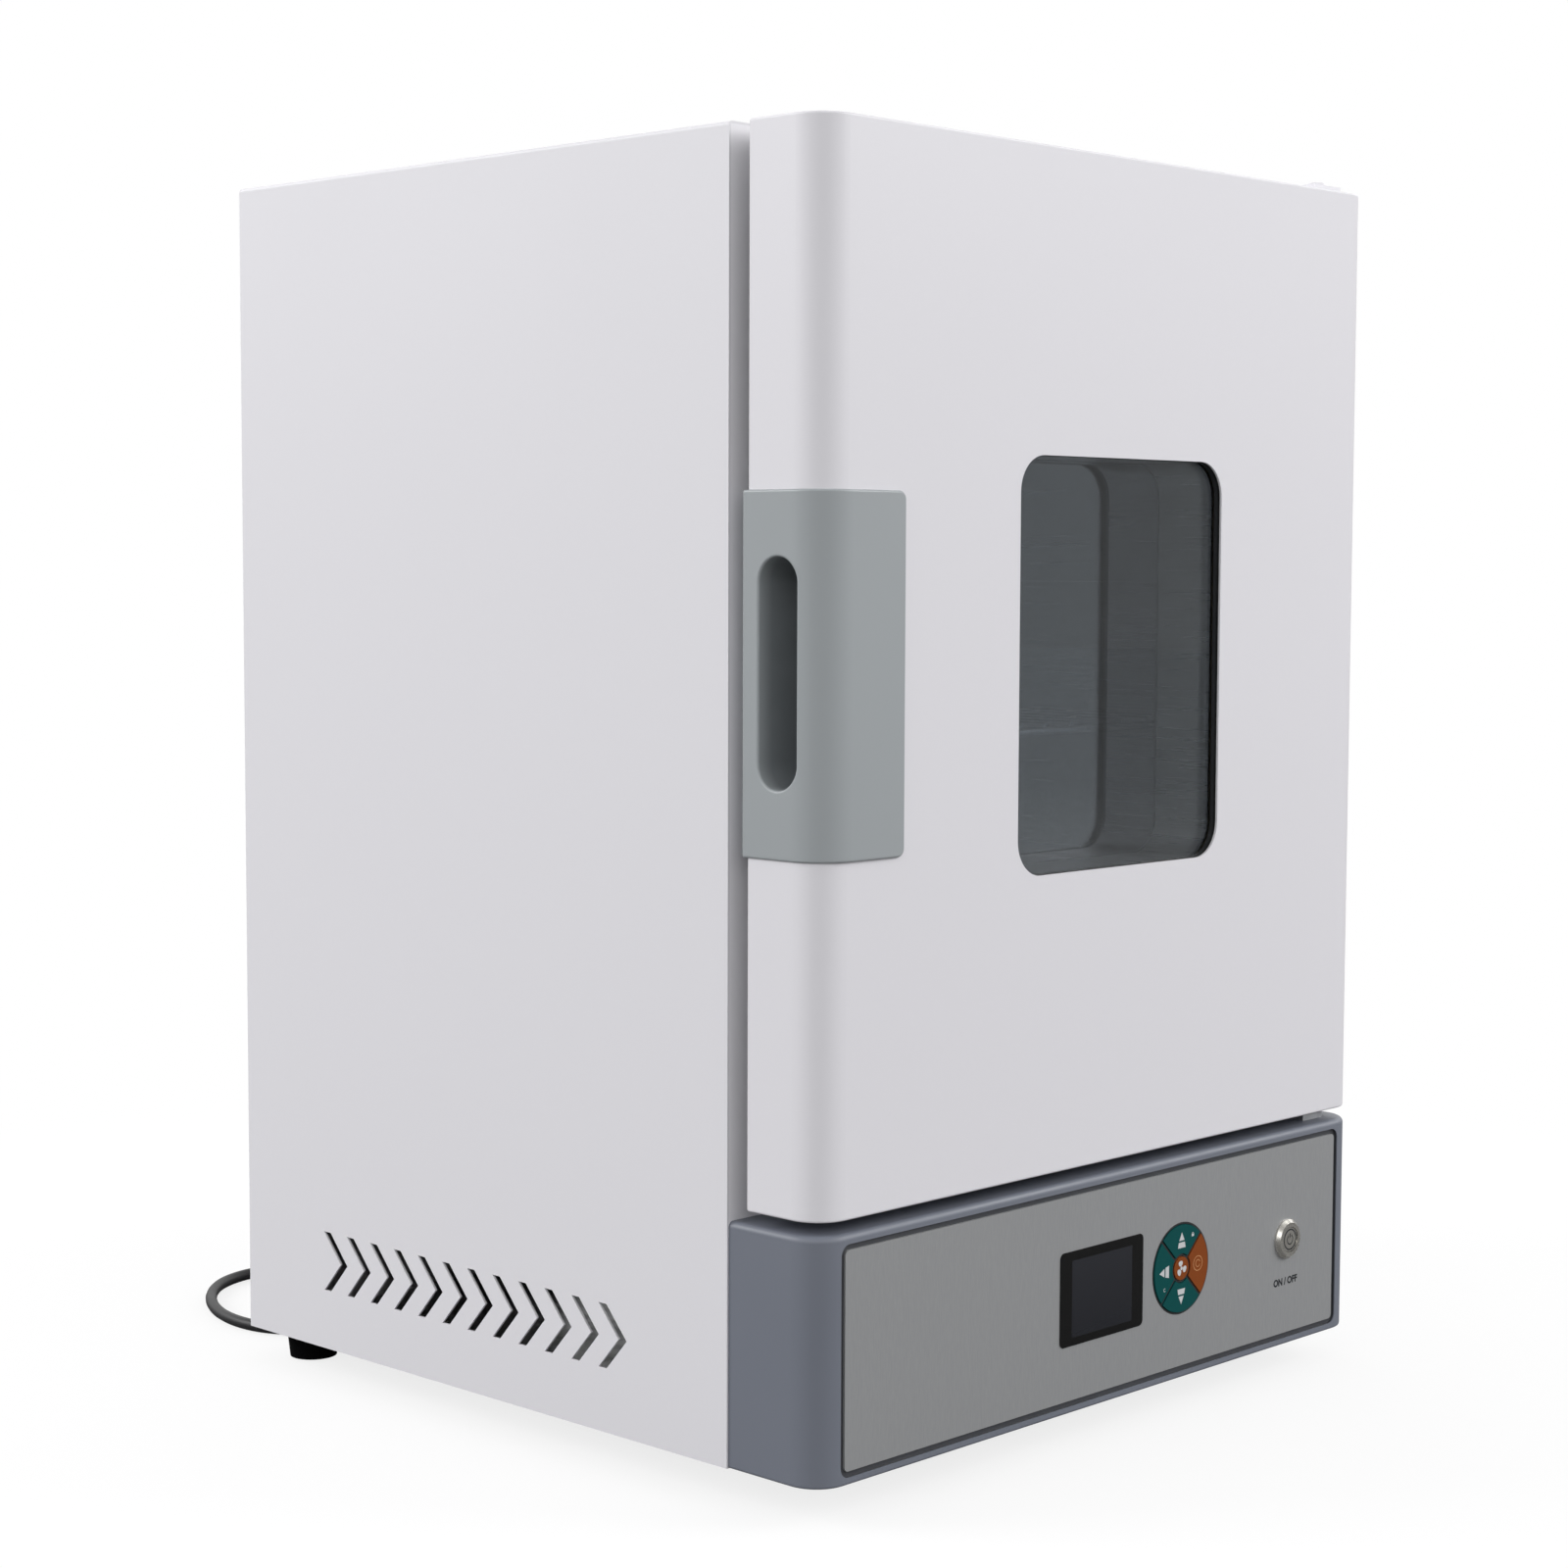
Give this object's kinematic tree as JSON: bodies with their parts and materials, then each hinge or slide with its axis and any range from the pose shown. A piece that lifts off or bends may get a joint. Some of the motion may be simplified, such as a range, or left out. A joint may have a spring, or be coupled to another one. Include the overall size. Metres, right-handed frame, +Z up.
{
  "type": "forced-air drying oven",
  "caption": "Benchtop forced-air drying oven: side-hung door with a window, moulded corner handle, wire shelves, rear fan and ring heater, and a control panel with keys under the door.",
  "frame": {"origin": "on the floor under the middle of the oven's width and of its depth from the power switch to the rear cover", "axes": "+Z up, -Y towards the front of the oven, +X to the right seen from the front"},
  "size_m": [0.442, 0.6058, 0.6625],
  "materials": {
    "casing_paint": "satin powder coat, cool white",
    "door_paint": "satin powder coat, cool white",
    "zinc_steel": "bare zinc-plated sheet",
    "stainless": "brushed stainless steel",
    "chrome_wire": "bright plated wire",
    "wool": "mineral wool",
    "rubber_black": "matt black rubber",
    "silicone": "grey silicone rubber",
    "handle_plastic": "fine grained grey moulding",
    "bezel_plastic": "fine grained blue-grey moulding",
    "label_metal": "brushed aluminium look overlay",
    "screen": "gloss black lens",
    "teal_key": "teal membrane key",
    "orange_key": "orange membrane key",
    "black_plastic": "matt black moulding",
    "steel": "plain turned steel",
    "brass": "plain brass",
    "board": "green circuit board",
    "alloy": "cast or extruded aluminium",
    "glass_clear": "tempered clear glass",
    "cord_black": "matt black cord jacket",
    "motor_paint": "black painted motor can"
  },
  "bodies": {
    "casing": {"outer_casing": "casing_paint", "front_frame": "casing_paint", "rear_panel": "casing_paint", "base_plate": "zinc_steel", "foot_front_left": "rubber_black", "foot_front_right": "rubber_black", "foot_rear_left": "rubber_black", "foot_rear_right": "rubber_black", "chamber_liner": "stainless", "chamber_insulation": "wool", "air_baffle": "stainless", "fan_motor": "motor_paint", "motor_bracket": "zinc_steel", "rear_cover": "casing_paint", "heater_coil": "stainless", "temperature_probe": "stainless", "exhaust_duct": "stainless", "shelf_lower": "chrome_wire", "shelf_upper": "chrome_wire", "shelf_rail_left": "stainless", "shelf_rail_right": "stainless", "catch_keeper": "zinc_steel", "hinge_upper": "casing_paint", "hinge_lower": "zinc_steel", "control_bezel": "bezel_plastic", "control_label": "label_metal", "screen_window": "screen", "display_module": "black_plastic", "keypad_base": "black_plastic", "power_switch_body": "steel", "power_switch_nut": "steel", "control_board": "board", "heater_relay": "alloy", "terminal_block": "black_plastic", "cord_gland": "black_plastic", "power_cord": "cord_black", "cord_coil": "cord_black", "power_plug": "black_plastic", "panel_screws": "zinc_steel"},
    "door": {"door_shell": "door_paint", "door_inner_panel": "stainless", "door_insulation": "wool", "door_gasket": "silicone", "door_magnet": "black_plastic", "window_seal": "rubber_black", "window_outer_glass": "glass_clear", "window_sleeve": "stainless", "window_inner_glass": "glass_clear", "door_handle": "handle_plastic", "hinge_bushes": "brass"},
    "fan_rotor": {"fan_impeller": "alloy", "fan_shaft": "steel", "cooling_fan": "black_plastic"},
    "damper": {"exhaust_damper": "black_plastic"},
    "power_button": {"power_button": "steel"},
    "key_up": {"key_up": "teal_key"},
    "key_down": {"key_down": "teal_key"},
    "key_left": {"key_left": "teal_key"},
    "key_right": {"key_right": "orange_key"},
    "key_middle": {"key_middle": "orange_key"}
  },
  "joints": [
    {"name": "door_hinge", "type": "hinge", "parent": "casing", "child": "door", "pos_m": [0.1935, -0.21455, 0.3931], "axis": [0, 0, 1], "range_deg": [0, 120]},
    {"name": "fan_spin", "type": "hinge", "parent": "casing", "child": "fan_rotor", "pos_m": [0, 0.09545, 0.3955], "axis": [0, 1, 0], "continuous": true},
    {"name": "damper_turn", "type": "hinge", "parent": "casing", "child": "damper", "pos_m": [0, 0.00045, 0.648], "axis": [0, 0, 1], "range_deg": [0, 90]},
    {"name": "power_press", "type": "slide", "parent": "casing", "child": "power_button", "axis": [0, 1, 0], "range_m": [0, 0.002], "stiffness_N_per_m": 400},
    {"name": "key_up_press", "type": "slide", "parent": "casing", "child": "key_up", "axis": [0, 1, 0], "range_m": [0, 0.0005], "stiffness_N_per_m": 500},
    {"name": "key_down_press", "type": "slide", "parent": "casing", "child": "key_down", "axis": [0, 1, 0], "range_m": [0, 0.0005], "stiffness_N_per_m": 500},
    {"name": "key_left_press", "type": "slide", "parent": "casing", "child": "key_left", "axis": [0, 1, 0], "range_m": [0, 0.0005], "stiffness_N_per_m": 500},
    {"name": "key_right_press", "type": "slide", "parent": "casing", "child": "key_right", "axis": [0, 1, 0], "range_m": [0, 0.0005], "stiffness_N_per_m": 500},
    {"name": "key_middle_press", "type": "slide", "parent": "casing", "child": "key_middle", "axis": [0, 1, 0], "range_m": [0, 0.0005], "stiffness_N_per_m": 500}
  ]
}
